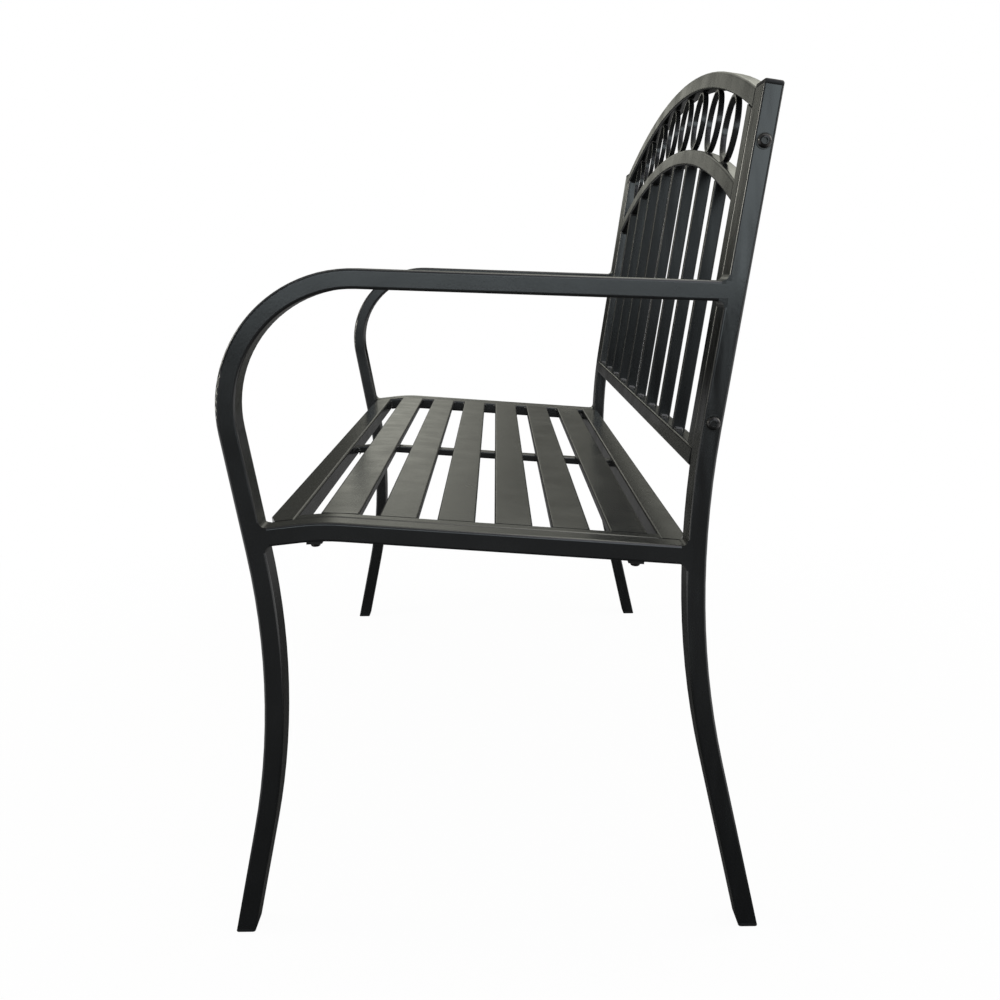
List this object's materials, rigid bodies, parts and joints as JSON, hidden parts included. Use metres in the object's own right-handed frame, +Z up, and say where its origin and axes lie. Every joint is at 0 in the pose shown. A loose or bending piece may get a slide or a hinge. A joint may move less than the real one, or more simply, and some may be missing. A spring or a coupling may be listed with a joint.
{
  "type": "metal garden bench",
  "caption": "Garden bench of black powder-coated steel tube with bent side frames, a slatted seat and an arched back with rings between two arches.",
  "frame": {"origin": "on the floor, under the centre of the bench's overall box", "axes": "+X along the bench, to the right as seen from its front; +Y to the back; +Z up; the sitter faces -Y"},
  "size_m": [1.272, 0.5734, 0.9461],
  "materials": {
    "powder_coat": "satin black powder coat",
    "cap_plastic": "moulded black polyethylene, matt",
    "black_fastener": "blackened steel, semi-gloss",
    "plain_nut": "bright zinc plate"
  },
  "bodies": {
    "root": {"right_front_leg_and_arm": "powder_coat", "right_rear_leg": "powder_coat", "right_seat_rail": "powder_coat", "left_front_leg_and_arm": "powder_coat", "left_rear_leg": "powder_coat", "left_seat_rail": "powder_coat", "seat_right_end_tube": "powder_coat", "seat_left_end_tube": "powder_coat", "seat_front_rail": "powder_coat", "seat_rear_rail": "powder_coat", "seat_centre_brace": "powder_coat", "seat_slat_1": "powder_coat", "seat_slat_2": "powder_coat", "seat_slat_3": "powder_coat", "seat_slat_4": "powder_coat", "seat_slat_5": "powder_coat", "seat_slat_6": "powder_coat", "seat_right_front_lug": "powder_coat", "seat_right_rear_lug": "powder_coat", "seat_left_front_lug": "powder_coat", "seat_left_rear_lug": "powder_coat", "back_right_stile": "powder_coat", "back_left_stile": "powder_coat", "back_bottom_rail": "powder_coat", "back_top_arch": "powder_coat", "back_lower_arch": "powder_coat", "back_slat_1": "powder_coat", "back_slat_2": "powder_coat", "back_slat_3": "powder_coat", "back_slat_4": "powder_coat", "back_slat_5": "powder_coat", "back_slat_6": "powder_coat", "back_slat_7": "powder_coat", "back_slat_8": "powder_coat", "back_ring_1": "powder_coat", "back_ring_2": "powder_coat", "back_ring_3": "powder_coat", "back_ring_4": "powder_coat", "back_ring_5": "powder_coat", "back_ring_6": "powder_coat", "back_ring_7": "powder_coat", "back_ring_8": "powder_coat", "right_front_foot_cap": "cap_plastic", "right_rear_foot_cap": "cap_plastic", "left_front_foot_cap": "cap_plastic", "left_rear_foot_cap": "cap_plastic", "right_post_cap": "cap_plastic", "left_post_cap": "cap_plastic", "seat_bolts": "black_fastener", "back_bolts": "black_fastener", "seat_washers": "black_fastener", "back_washers": "black_fastener", "seat_weld_nuts": "plain_nut", "back_weld_nuts": "plain_nut"}
  },
  "joints": []
}
